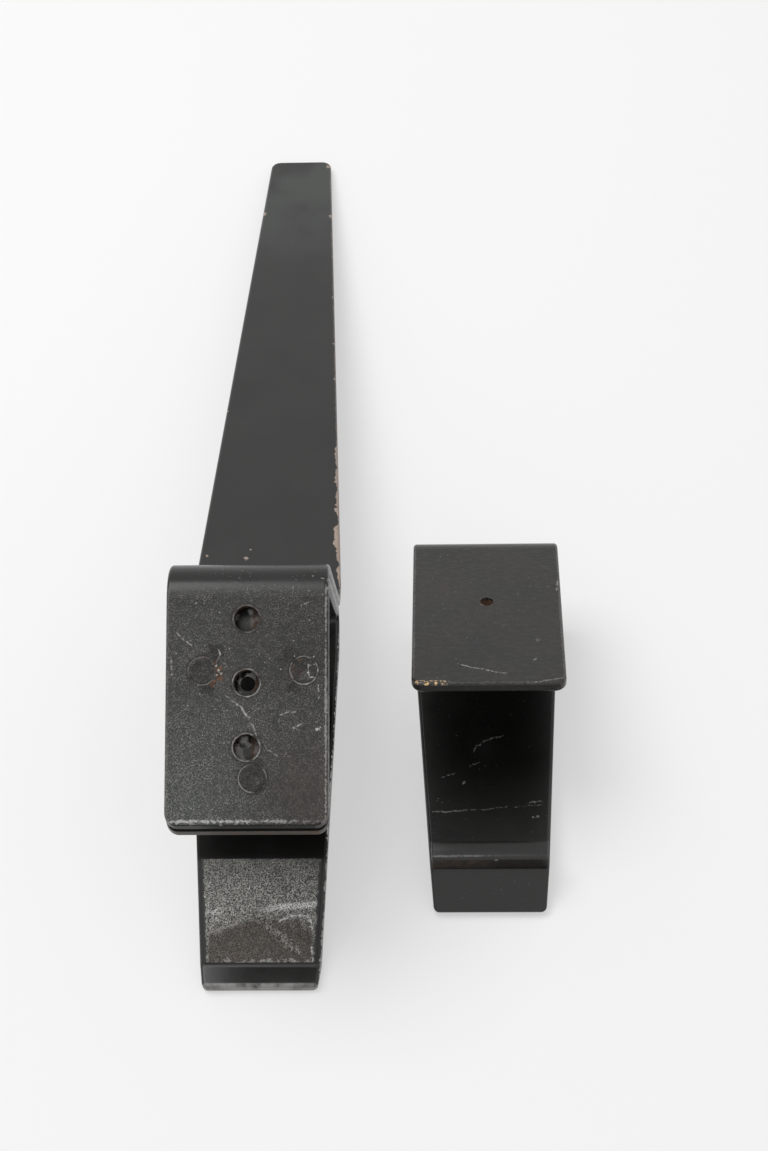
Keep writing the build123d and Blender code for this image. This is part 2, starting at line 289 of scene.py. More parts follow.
class Graph:
    """Short calls that add nodes to one shader tree and join them."""

    def __init__(self, tree):
        self.tree = tree

    def node(self, kind, **settings):
        made = self.tree.nodes.new(kind)
        for key, value in settings.items():
            setattr(made, key, value)
        return made

    def feed(self, socket, value):
        if isinstance(value, bpy.types.NodeSocket):
            self.tree.links.new(value, socket)
        else:
            socket.default_value = value

    def math(self, operation, *values, clamp=False):
        made = self.node("ShaderNodeMath", operation=operation, use_clamp=clamp)
        for socket, value in zip(made.inputs, values):
            self.feed(socket, value)
        return made.outputs[0]

    def plus(self, first, second):
        return self.math("ADD", first, second)

    def minus(self, first, second):
        return self.math("SUBTRACT", first, second)

    def line(self, value, slope, start):
        return self.math("MULTIPLY_ADD", value, slope, start)

    def unsigned(self, value):
        return self.math("ABSOLUTE", value)

    def times(self, *values):
        product = values[0]
        for value in values[1:]:
            product = self.math("MULTIPLY", product, value)
        return product

    def most(self, *values):
        largest = values[0]
        for value in values[1:]:
            largest = self.math("MAXIMUM", largest, value)
        return largest

    def vector(self, operation, *values):
        made = self.node("ShaderNodeVectorMath", operation=operation)
        for socket, value in zip(made.inputs, values):
            self.feed(socket, value)
        scalar = operation in {"DOT_PRODUCT", "DISTANCE"}
        return made.outputs["Value" if scalar else "Vector"]

    def scaled(self, vector, factor):
        made = self.node("ShaderNodeVectorMath", operation="SCALE")
        self.feed(made.inputs["Vector"], vector)
        self.feed(made.inputs["Scale"], factor)
        return made.outputs["Vector"]

    def flat(self, vector):
        """A place on a face without its height."""
        return self.vector("MULTIPLY", vector, (1, 1, 0))

    def parts(self, vector):
        made = self.node("ShaderNodeSeparateXYZ")
        self.feed(made.inputs[0], vector)
        return made.outputs

    def smooth(self, value, low, high):
        """0 at low, 1 at high, with a soft start and end; low may be the larger one."""
        made = self.node("ShaderNodeMapRange", interpolation_type="SMOOTHSTEP")
        self.feed(made.inputs["Value"], value)
        self.feed(made.inputs["From Min"], low)
        self.feed(made.inputs["From Max"], high)
        return made.outputs["Result"]

    def ramp(self, value, low, high):
        """A smooth step between two distances in millimetres."""
        return self.smooth(value, low * MM, high * MM)

    def noise(self, vector, scale, detail=2.0, roughness=0.5):
        made = self.node("ShaderNodeTexNoise")
        self.feed(made.inputs["Vector"], vector)
        made.inputs["Scale"].default_value = scale
        made.inputs["Detail"].default_value = detail
        made.inputs["Roughness"].default_value = roughness
        return made.outputs["Fac"]

    def patches(self, vector, scale, low, high, detail=3.0, roughness=0.5):
        """A smooth step on noise, which leaves scattered patches."""
        return self.smooth(self.noise(vector, scale, detail, roughness), low, high)

    def wander(self, vector, scale, reach):
        """Push places about by noise, so that straight marks waver."""
        made = self.node("ShaderNodeTexNoise")
        self.feed(made.inputs["Vector"], vector)
        made.inputs["Scale"].default_value = scale
        offset = self.vector("SUBTRACT", made.outputs["Color"], (0.5, 0.5, 0.5))
        return self.vector("ADD", vector, self.scaled(offset, reach))

    def mapped(self, vector, location=(0, 0, 0), rotation=(0, 0, 0), scale=(1, 1, 1), kind="TEXTURE"):
        made = self.node("ShaderNodeMapping", vector_type=kind)
        self.feed(made.inputs["Vector"], vector)
        made.inputs["Location"].default_value = location
        made.inputs["Rotation"].default_value = rotation
        made.inputs["Scale"].default_value = scale
        return made.outputs["Vector"]

    def blend(self, factor, first, second):
        """Mix two colours."""
        made = self.node("ShaderNodeMix", data_type="RGBA")
        self.feed(made.inputs[0], factor)
        self.feed(made.inputs[6], first)
        self.feed(made.inputs[7], second)
        return made.outputs[2]

    def between(self, factor, first, second):
        """Mix two values."""
        made = self.node("ShaderNodeMix", data_type="FLOAT")
        self.feed(made.inputs[0], factor)
        self.feed(made.inputs[2], first)
        self.feed(made.inputs[3], second)
        return made.outputs[0]

    def use(self, group, **values):
        made = self.node("ShaderNodeGroup", node_tree=GROUPS[group])
        for key, value in values.items():
            self.feed(made.inputs[key], value)
        return made.outputs

    def edge(self, vector, gap, width):
        """Wear beside an edge, by the distance from it and the wear's width in millimetres."""
        return self.use("edge", Vector=vector, Distance=gap, Width=width * MM)

    def position(self):
        return self.node("ShaderNodeTexCoord").outputs["Object"]

    def on_face(self, face):
        return self.mapped(self.position(), face.origin, (face.tilt, 0, 0))


def new_group(name, inputs, outputs):
    tree = bpy.data.node_groups.new(name, "ShaderNodeTree")
    for label, kind in inputs.items():
        tree.interface.new_socket(label, in_out="INPUT", socket_type=kind)
    for label, kind in outputs.items():
        tree.interface.new_socket(label, in_out="OUTPUT", socket_type=kind)
    graph = Graph(tree)
    given = graph.node("NodeGroupInput").outputs
    result = graph.node("NodeGroupOutput").inputs
    return graph, given, result


def scratch_group():
    """A scratch between two points, wavering and broken up along its length."""
    g, given, result = new_group(
        "Scratch", {"Vector": VECTOR, "From": VECTOR, "To": VECTOR, "Width": FLOAT}, {"Mask": FLOAT})
    place = given["Vector"]
    along = g.vector("SUBTRACT", given["To"], given["From"])
    here = g.vector("SUBTRACT", g.wander(place, 420, 1.1 * MM), given["From"])
    covered = g.vector("DOT_PRODUCT", here, along)
    share = g.math("DIVIDE", covered, g.vector("DOT_PRODUCT", along, along), clamp=True)
    gap = g.math("DIVIDE", g.vector("DISTANCE", here, g.scaled(along, share)), given["Width"])
    broken = g.minus(0.5, g.noise(place, 1500, 3))
    line = g.smooth(g.line(broken, 3.2, gap), 1.0, 0.3)
    g.feed(result["Mask"], g.times(line, g.patches(place, 900, 0.34, 0.56, 2)))
    return g.tree


def edge_wear_group():
    """Paint rubbed off near an edge, by the distance from it: an uneven strip, and a thin dotted line."""
    g, given, result = new_group(
        "Edge wear", {"Vector": VECTOR, "Distance": FLOAT, "Width": FLOAT},
        {"Mask": FLOAT, "Line": FLOAT})
    share = g.math("DIVIDE", given["Distance"], given["Width"])
    patches = g.minus(0.5, g.noise(given["Vector"], 150, 3, 0.6))
    nicks = g.minus(0.5, g.noise(given["Vector"], 1300, 3, 0.6))
    uneven = g.line(patches, 2.6, g.line(nicks, 3.4, share))
    g.feed(result["Mask"], g.smooth(uneven, 1.0, 0.35))
    from_line = g.unsigned(g.minus(share, 1.0))
    dotted = g.line(patches, 1.6, g.line(nicks, 2.6, from_line))
    g.feed(result["Line"], g.smooth(dotted, 0.55, 0.05))
    return g.tree


def blot_group():
    """A ragged spot round a point."""
    g, given, result = new_group(
        "Blot", {"Vector": VECTOR, "Centre": VECTOR, "Radius": FLOAT}, {"Mask": FLOAT})
    share = g.math("DIVIDE", g.vector("DISTANCE", given["Vector"], given["Centre"]), given["Radius"])
    ragged = g.minus(0.5, g.noise(given["Vector"], 1100, 4, 0.65))
    g.feed(result["Mask"], g.smooth(g.line(ragged, 2.4, share), 1.0, 0.5))
    return g.tree


def hole_group():
    """The wall of a round hole, a thin rubbed line round its mouth and a stained ring outside that."""
    g, given, result = new_group(
        "Hole", {"Vector": VECTOR, "Centre": VECTOR, "Radius": FLOAT},
        {"Wall": FLOAT, "Lip": FLOAT, "Ring": FLOAT})
    place = given["Vector"]
    out = g.minus(g.vector("DISTANCE", g.flat(place), given["Centre"]), given["Radius"])
    nicks = g.minus(0.5, g.noise(place, 1300, 3))
    patches = g.patches(place, 260, 0.36, 0.58, 2)
    from_line = g.unsigned(g.minus(out, 0.22 * MM))
    line = g.ramp(g.line(nicks, 0.6 * MM, from_line), 0.26, 0.08)
    g.feed(result["Wall"], g.ramp(out, 0.12, 0.04))
    g.feed(result["Lip"], g.times(line, patches))
    g.feed(result["Ring"], g.ramp(g.line(nicks, 1.6 * MM, out), 1.3, 0.2))
    return g.tree


def hair_scratch_group():
    """Hair scratches in three directions, in patches, and scattered tiny flecks."""
    g, given, result = new_group(
        "Hair scratches", {"Vector": VECTOR, "Amount": FLOAT}, {"Mask": FLOAT, "Flecks": FLOAT})
    lines = []
    for turn, stretch in ((0.35, 38), (1.25, 52), (2.5, 30)):
        turned = g.mapped(given["Vector"], rotation=(0, 0, turn), kind="POINT")
        drawn = g.mapped(turned, scale=(stretch, 1900, 1900), kind="POINT")
        lines.append(g.patches(drawn, 1.0, 0.70, 0.76, 1))
    patches = g.patches(given["Vector"], 75, 0.42, 0.66)
    g.feed(result["Mask"], g.times(g.most(*lines), patches, given["Amount"]))
    flecks = g.patches(given["Vector"], 1050, 0.72, 0.80, 1)
    g.feed(result["Flecks"], g.times(flecks, given["Amount"]))
    return g.tree


def paint_group(finish):
    """Black paint with grain, brown staining, a dark colour without sheen for painted shade and duller
    paint, chips to the primer, steel and rust.
    """
    g, given, result = new_group(
        "Worn paint",
        {"Vector": VECTOR, "Grain": FLOAT, "Brown": FLOAT, "Primer": FLOAT, "Bare": FLOAT, "Rust": FLOAT,
         "Soot": FLOAT, "Haze": FLOAT},
        {"Color": COLOR, "Roughness": FLOAT, "Metallic": FLOAT, "Height": FLOAT})
    grains = g.noise(given["Vector"], 3300, 2, 0.6)
    pits = g.noise(given["Vector"], 640, 4, 0.6)
    clouds = g.noise(given["Vector"], 48, 5, 0.6)
    color = g.scaled(finish.paint[:3], g.line(clouds, 1.1, 0.45))
    color = g.blend(given["Haze"], color, finish.haze)
    spread = g.line(g.smooth(pits, 0.34, 0.62), 0.6, 0.4)
    specks = g.times(g.smooth(grains, 0.44, 0.70), spread, given["Grain"])
    color = g.blend(specks, color, finish.speck)
    color = g.blend(g.times(given["Brown"], g.smooth(pits, 0.25, 0.7)), color, finish.brown)
    rusty = g.blend(g.smooth(pits, 0.35, 0.65), finish.brown, finish.rust)
    color = g.blend(given["Rust"], color, rusty)
    # Dark colour without sheen: painted shade in the gaps, holes, raw ends and under the plates, and duller
    # darker paint on the rivets, burrs and stop bar
    color = g.blend(given["Soot"], color, finish.soot_and_shade)
    chalk = g.scaled(finish.primer[:3], g.line(pits, 0.7, 0.65))
    color = g.blend(given["Primer"], color, chalk)
    g.feed(result["Color"], g.blend(given["Bare"], color, finish.steel))
    rough = g.line(clouds, 0.16, 0.17)
    rough = g.line(g.times(given["Grain"], pits), 0.5, rough)
    rough = g.between(g.most(given["Primer"], given["Rust"]), rough, 0.8)
    g.feed(result["Roughness"], g.between(given["Bare"], rough, 0.42))
    g.feed(result["Metallic"], g.most(g.times(given["Bare"], 0.45), g.times(given["Soot"], 0.95)))
    grain_height = g.times(g.plus(grains, pits), given["Grain"], 0.09 * MM)
    orange_peel = g.times(g.noise(given["Vector"], 420, 1), 0.014 * MM)
    chipped = g.times(given["Primer"], -0.05 * MM)
    crust = g.times(given["Rust"], grains, 0.10 * MM)
    g.feed(result["Height"], g.plus(g.plus(grain_height, orange_peel), g.plus(chipped, crust)))
    return g.tree


def make_groups():
    GROUPS["scratch"] = scratch_group()
    GROUPS["edge"] = edge_wear_group()
    GROUPS["blot"] = blot_group()
    GROUPS["hole"] = hole_group()
    GROUPS["hair"] = hair_scratch_group()
    GROUPS["paint"] = paint_group(bpy.context.scene.latch_finish)


def start_material(name):
    material = bpy.data.materials.new(name)
    material.use_nodes = True
    return material, Graph(material.node_tree), material.node_tree.nodes["Principled BSDF"]


def raise_bump(g, shader, height):
    """Let a height in metres stand out of the surface."""
    bump = g.node("ShaderNodeBump")
    bump.inputs["Distance"].default_value = 1.0
    g.feed(bump.inputs["Height"], height)
    g.feed(shader.inputs["Normal"], bump.outputs["Normal"])


def finish_paint(g, shader, topcoat=None, **masks):
    """Join the worn paint group to the shader, with an optional (mask, colour) over the top."""
    painted = g.use("paint", Vector=g.position(), **masks)
    color = painted["Color"]
    if topcoat:
        color = g.blend(topcoat[0], color, topcoat[1])
    g.feed(shader.inputs["Base Color"], color)
    g.feed(shader.inputs["Roughness"], painted["Roughness"])
    g.feed(shader.inputs["Metallic"], painted["Metallic"])
    shader.inputs["Specular IOR Level"].default_value = PAINT_SPECULAR
    raise_bump(g, shader, painted["Height"])


# Marks on a face: points across and along it, width, all in mm, and strength
PLATE_MARKS = (
    (((-5.5, -2.6), (-4.2, -3.5), (-2.3, -4.9)), 0.22, 0.45),
    (((-2.3, -4.9), (-0.7, -6.5), (0.6, -8.1), (1.7, -9.9), (2.3, -12.2), (2.8, -13.8)), 0.27, 0.65),
    (((-16.5, 11.9), (-14.5, 10.0), (-13.0, 9.1)), 0.22, 0.6),
    (((7.6, -9.0), (7.8, -7.6), (8.9, -7.1), (11.3, -6.8)), 0.20, 0.6),
    (((11.1, -10.6), (12.6, -9.9)), 0.45, 0.95),
    (((16.5, -10.9), (17.1, -10.7)), 0.55, 0.95),
    (((16.8, -0.8), (16.9, -4.0)), 0.22, 0.6),
    (((4.8, -15.4), (7.0, -16.7)), 0.28, 0.6),
    (((7.4, 24.7), (8.9, 23.2)), 0.26, 0.6),
    (((12.6, 18.1), (17.0, 19.5)), 0.18, 0.5),
    (((-17.6, 5.3), (-17.4, 2.0)), 0.30, 0.55),
    (((4.3, 4.9), (5.2, 5.6)), 0.30, 0.7),
)
KEEPER_MARKS = (
    (((-7.6, -23.9), (-5.3, -24.8), (-2.3, -25.9), (-0.8, -26.2), (1.3, -27.1), (4.1, -27.6)), 0.24, 0.7),
    (((8.5, -31.0), (12.4, -30.9), (15.5, -30.2), (18.5, -29.3)), 0.30, 0.35),
    (((17.9, 4.4), (18.2, 8.4)), 0.30, 0.5),
    (((12.0, -15.6), (12.8, -14.8)), 0.45, 0.3),
    (((11.0, -22.6), (11.4, -22.3)), 0.30, 0.5),
    (((-4.5, -13.0), (-4.0, -12.8)), 0.24, 0.4),
)
KEEPER_JAW_MARKS = (
    (((-3.8, 34.1), (-3.0, 36.2), (-0.8, 37.8), (4.1, 39.4)), 0.36, 0.32),
    (((-12.4, 26.3), (-8.3, 27.8)), 0.26, 0.28),
    (((-4.6, 30.0), (-2.0, 31.2)), 0.24, 0.25),
    (((-14.3, 15.9), (-6.5, 16.1)), 0.27, 0.45),
    (((-6.5, 16.2), (1.5, 16.7)), 0.24, 0.2),
    (((1.5, 17.0), (14.2, 17.9)), 0.24, 0.22),
    (((10.5, 18.6), (13.8, 19.0)), 0.32, 0.3),
    (((-6.6, 24.4), (-6.0, 25.0)), 0.34, 0.45),
    (((-13.5, 19.4), (-13.0, 19.7)), 0.34, 0.5),
    (((11.2, 14.0), (12.6, 14.4)), 0.34, 0.4),
)
RIVET_MARKS = (
    (((14.3, 4.3), (14.5, 1.2), (16.0, 1.1)), 0.26, 0.8),
    (((14.4, 4.1), (15.8, 4.2)), 0.2, 0.5),
)
LINING_STREAK = ((((1.7, 10.7), (5.4, 7.4), (9.1, 4.2)), 1.3, 0.8),)
LINING_MARKS = (
    (((4.7, 11.5), (8.1, 12.6), (11.8, 12.6), (12.5, 10.7), (12.9, 8.1)), 0.40, 0.7),
    (((12.6, 5.0), (13.2, 1.9)), 0.40, 0.6),
    (((-12.4, 8.9), (-8.7, 10.2), (-4.5, 11.0)), 0.50, 0.2),
)

# Spots on a face: across, along and radius in mm
HANDLE_CHIPS = (
    (-6.2, 14.3, 0.75), (-16.6, 15.4, 0.5), (-10.6, 169.6, 1.1), (9.0, 195.5, 1.0), (10.9, 168.0, 1.1),
    (-5.2, 17.6, 0.28), (13.2, 126, 0.9), (14.2, 104, 0.8), (14.9, 88, 0.7), (12.2, 147, 0.7),
    (-15.4, 74, 0.6),
)
RUST_SPOTS = ((-6.6, 2.7, 1.4), (-6.2, 1.4, 1.1), (-8.2, -0.4, 0.8), (-7.3, 4.6, 0.9))
SMUDGES = (
    (-7.6, 6.4, 2.7), (-9.5, -1.6, 2.2), (10.4, 6.2, 3.2), (11.6, -1.6, 2.0), (2.2, -18.6, 2.0),
)

# How worn the rim of each hole and rivet in the front plate is
LIP_WEAR = {
    "screw_hole_upper": 0.20, "screw_hole_middle": 0.5, "screw_hole_lower": 0.45,
    "rivet_left": 0.20, "rivet_right": 0.5, "rivet_lower": 0.35,
}
# Offset from each screw hole's middle of the lit spot that the painted shade in the hole leaves out
HOLE_GLINT = (-0.3 * MM, -0.9 * MM)
CHIP_SHIFT = 5.5 * MM
CHIP_REACH = 13 * MM
CHIP_START = -0.9 * MM
CHIP_RAGGEDNESS = 1.8 * MM


def scratches(g, vector, marks):
    """All the marks of one face."""
    worn = 0.0
    for points, width, strength in marks:
        for (x0, y0), (x1, y1) in zip(points, points[1:]):
            mark = g.use(
                "scratch", Vector=vector, From=(x0 * MM, y0 * MM, 0), To=(x1 * MM, y1 * MM, 0),
                Width=width * MM)
            worn = g.most(worn, g.times(mark["Mask"], strength))
    return worn


def blots(g, vector, spots):
    """All the spots of one face."""
    spotted = 0.0
    for x, y, radius in spots:
        spot = g.use("blot", Vector=vector, Centre=(x * MM, y * MM, 0), Radius=radius * MM)
        spotted = g.most(spotted, spot["Mask"])
    return spotted


def flakes(g, vector):
    """Where paint has flaked off a rubbed side."""
    return g.patches(vector, 420, 0.52, 0.60, 4, 0.65)


def plate_edges(g, plate):
    """How far a place on the lever's plates is from their long sides and from their leaning ends."""
    across, along, out = g.parts(plate)
    side_gap = g.minus(HALF_WIDTH, g.unsigned(across))
    front_gap = g.line(out, -tan(PLATE_END_LEAN), g.minus(along, PLATE_FRONT))
    return side_gap, front_gap


def plate_edge_wear(g, plate, on_top, side_gap, front_gap):
    """The front plate's edges: a thin bare line where their rounding begins, partly rubbed wear and partly
    a painted highlight, and the flaked paint on its right side at the bend.
    """
    across, along, _ = g.parts(plate)
    front = g.edge(plate, front_gap, 0.82)["Line"]
    side = g.edge(plate, side_gap, 0.5)
    on_right = g.ramp(across, 0, 10)
    right_side = g.line(on_right, 0.45, 0.12)
    front_strength = g.line(g.ramp(across, 14, -4), 0.45, 0.4)
    edges = g.times(on_top, g.most(g.times(front, front_strength), g.times(side["Line"], right_side)))
    bend = g.times(side["Mask"], flakes(g, plate), on_right, g.ramp(along, 17, 21), 0.8)
    return edges, bend


def hole_wear(g, plate, out):
    """The front plate's holes: their rusty walls, their rubbed rims and the stain round them."""
    walls = 0.0
    lips = 0.0
    rings = 0.0
    for name, wear in LIP_WEAR.items():
        hole = g.use("hole", Vector=plate, Centre=plate_place(name), Radius=SCREW_RADIUS)
        walls = g.most(walls, hole["Wall"])
        lips = g.most(lips, g.times(hole["Lip"], wear))
        rings = g.most(rings, hole["Ring"])
    return g.times(walls, g.ramp(out, -0.15, -0.6)), lips, rings


def handle_wear(g):
    """The handle: chips down to the primer, brown on its left side and end, and bloom far out."""
    handle = g.on_face(HANDLE)
    across, along, out = g.parts(handle)
    taper = (HALF_WIDTH - HANDLE_END_HALF) / (HANDLE_LENGTH - HANDLE_TAPER_START)
    half = g.line(along, -taper, HALF_WIDTH + taper * HANDLE_TAPER_START)
    right_gap = g.minus(half, across)
    left_gap = g.plus(half, across)
    on_handle = g.times(g.ramp(out, -5, -3.6), g.ramp(along, -2, 0))
    run = g.vector("ADD", g.vector("MULTIPLY", handle, (0, 1, 0)), (0, CHIP_SHIFT, 0))
    bites = g.math("POWER", g.noise(run, 62, 3, 0.55), 3.0)
    chip_reach = g.line(g.times(bites, g.ramp(along, 79, 41)), CHIP_REACH, CHIP_START)
    ragged = g.times(g.minus(g.noise(handle, 700, 3), 0.5), CHIP_RAGGEDNESS)
    edge_chips = g.ramp(g.minus(g.plus(chip_reach, ragged), right_gap), -0.1, 0.1)
    small_chips = blots(g, handle, HANDLE_CHIPS)
    right = g.edge(handle, right_gap, 0.3)["Mask"]
    left = g.edge(handle, left_gap, 0.3)["Mask"]
    end = g.edge(handle, g.minus(HANDLE_LENGTH, along), 0.8)["Mask"]
    chips = g.times(on_handle, g.most(edge_chips, small_chips, g.times(right, 0.45)))
    bloom = g.times(g.ramp(along, 130, 180), g.patches(handle, 42, 0.36, 0.62, 4), on_handle)
    return chips, g.times(g.most(left, end), on_handle), bloom


def painted_end_shade(g, front_gap, out):
    """Painted shade on a strip's raw end below its rounded edge, and far down in the gap between the two
    strips.
    """
    raw_end = g.times(g.ramp(front_gap, 0.9, 0.55), g.ramp(out, -0.06, -0.3), 0.86)
    strip_gap = g.unsigned(g.plus(out, STRIP_GAP_DEPTH))
    in_gap = g.times(g.ramp(strip_gap, 0.5, 0.25), g.ramp(front_gap, 2, 1))
    return g.most(raw_end, in_gap)


def front_strip_material():
    """The outer strip: a grainy front plate with holes, and a smooth handle with chipped edges."""
    material, g, shader = start_material("Front strip paint")
    plate = g.on_face(PLATE)
    across, along, out = g.parts(plate)
    on_plate = g.ramp(out, -4.5, -2.6)
    on_top = g.ramp(out, -0.8, -0.35)
    side_gap, front_gap = plate_edges(g, plate)
    edges, bend_wear = plate_edge_wear(g, plate, on_top, side_gap, front_gap)
    marks = scratches(g, plate, PLATE_MARKS)
    hair = g.use("hair", Vector=plate, Amount=0.7)
    walls, lips, rings = hole_wear(g, plate, out)
    rust_spots = g.times(blots(g, plate, RUST_SPOTS), 0.75)
    smudges = g.times(blots(g, g.wander(plate, 160, 3 * MM), SMUDGES), 0.45)
    chips, browned, bloom = handle_wear(g)
    end_shade = painted_end_shade(g, front_gap, out)
    # Darker paint towards the upper right, and painted shade that dulls the sheen of the band below the
    # bend
    upper_right = g.times(g.ramp(across, -8, 14), g.ramp(along, -14, 8), 0.22)
    darker_corner_and_shaded_bend = g.most(upper_right, g.times(g.ramp(along, 16, 22), 0.2))
    corner_stain = g.times(
        g.ramp(across, -2, 16), g.ramp(along, -4, -26), g.patches(plate, 110, 0.3, 0.6, 4))
    pale_spread = g.patches(plate, 60, 0.25, 0.7, 4)
    lower_left = g.times(g.ramp(across, 10, -16), g.ramp(along, 5, -30))
    below_bend = g.ramp(along, 24.5, 20.5)
    grain = g.line(pale_spread, 0.4, g.plus(lower_left, 0.45))
    haze = g.most(bloom, g.times(lower_left, on_top))
    finish_paint(
        g, shader,
        Grain=g.times(on_top, below_bend, grain),
        Brown=g.most(g.times(corner_stain, on_plate, 0.65), browned, g.times(rings, on_plate, 0.35)),
        Primer=chips,
        Bare=g.most(bend_wear, g.times(
            on_plate, g.most(marks, g.times(hair["Mask"], 0.3), hair["Flecks"], edges, lips))),
        Rust=g.times(on_plate, g.most(walls, rust_spots)),
        # Painted shade on the raw end, in the gap between the strips and on the band below the bend, darker
        # paint to the upper right, and smudges and stained rings
        Soot=g.times(on_plate, g.most(end_shade, darker_corner_and_shaded_bend, smudges, g.times(rings, 0.55))),
        Haze=haze)
    return material


def lever_jaw_wear(g, on_jaw):
    """The lever's jaw: its rubbed long edges, its lip's bottom edge partly rubbed bare and partly a painted
    reflection of the pale table, and the part that the plate shades, which gets painted shade.
    """
    jaw = g.on_face(JAW)
    across, along, out = g.parts(jaw)
    taper = (HALF_WIDTH - JAW_RIM_HALF) / JAW_TAPER_LENGTH
    half = g.line(along, taper, JAW_RIM_HALF)
    edge = g.edge(jaw, g.minus(half, g.unsigned(across)), 0.4)["Mask"]
    right_side = g.line(g.ramp(across, 0, 10), 0.7, 0.1)
    upper = g.ramp(out, 1.6, 2.4)
    worn = g.times(on_jaw, upper, edge, right_side)
    # The lip's bottom edge: partly rubbed bare, partly a painted reflection of the pale table
    at_tip = g.smooth(g.parts(g.position())["Y"], LIP_END + 1.2 * MM, LIP_END + 0.5 * MM)
    tip_wear_and_reflection = g.times(at_tip, g.patches(jaw, 240, 0.25, 0.6, 4, 0.6))
    shaded = g.times(on_jaw, g.ramp(along, 25, 28), g.ramp(along, 75, 62), upper)
    return worn, tip_wear_and_reflection, shaded


def hole_shade(g, plate):
    """Painted shade on what is seen through the screw holes: little near the middle, more towards the wall,
    and less on the rusty right side.
    """
    flat = g.flat(plate)
    shade = 1.0
    for name in SCREW_HOLES:
        x, y, _ = plate_place(name)
        gap = g.vector("DISTANCE", flat, (x + HOLE_GLINT[0], y + HOLE_GLINT[1], 0))
        shade = g.math("MINIMUM", shade, g.ramp(gap, 0.6, 2.6))
    rusty_side = g.ramp(g.parts(plate)["X"], 0.4, 1.8)
    return g.times(shade, g.line(rusty_side, -0.55, 1.0))


def lever_material():
    """The inner strip of the lever: brown raw end, painted shade in the gap, on the lower part of the raw
    end, on the jaw under the plate and in the holes, and rubbed long edges.
    """
    material, g, shader = start_material("Lever hook paint")
    plate = g.on_face(PLATE)
    across, _, out = g.parts(plate)
    on_plate = g.ramp(out, -8, -6.6)
    side_gap, front_gap = plate_edges(g, plate)
    raw_end = g.times(
        g.ramp(out, -5.9, -5.2), g.ramp(front_gap, 0.5, 0.1), g.line(g.ramp(across, -15, -3), 0.6, 0.4))
    side_wear = g.edge(plate, side_gap, 0.35)["Mask"]
    flaked_side = g.times(side_wear, flakes(g, plate), on_plate, 0.5)
    worn_jaw, tip_wear_and_reflection, shaded = lever_jaw_wear(g, g.ramp(out, -12, -20))
    seen_in_holes = g.times(g.ramp(out, -3.6, -3.2), g.ramp(front_gap, 1.2, 2.5))
    near_end = g.ramp(front_gap, 2.2, 1.2)
    lumps = g.times(seen_in_holes, g.patches(plate, 420, 0.48, 0.64))
    hole_rust = g.times(seen_in_holes, g.ramp(across, 0.3, 1.8), 0.55)
    finish_paint(
        g, shader,
        Grain=g.most(g.times(raw_end, 0.9), g.times(seen_in_holes, 0.25)),
        Brown=raw_end,
        Bare=g.most(worn_jaw, g.times(tip_wear_and_reflection, 0.6), flaked_side, g.times(lumps, 0.28)),
        Rust=g.most(g.times(raw_end, g.patches(plate, 420, 0.50, 0.66), 0.5), hole_rust),
        # Painted shade: the lower part of the inner strip's raw end, its top in the gap under the outer
        # strip, the jaw under the plate, and what is seen through the holes
        Soot=g.most(
            g.times(on_plate, near_end, g.ramp(out, -5.0, -5.6), 0.8),
            g.times(near_end, g.ramp(out, -3.46, -3.28)),
            g.times(shaded, 0.75), g.times(seen_in_holes, hole_shade(g, plate))))
    return material


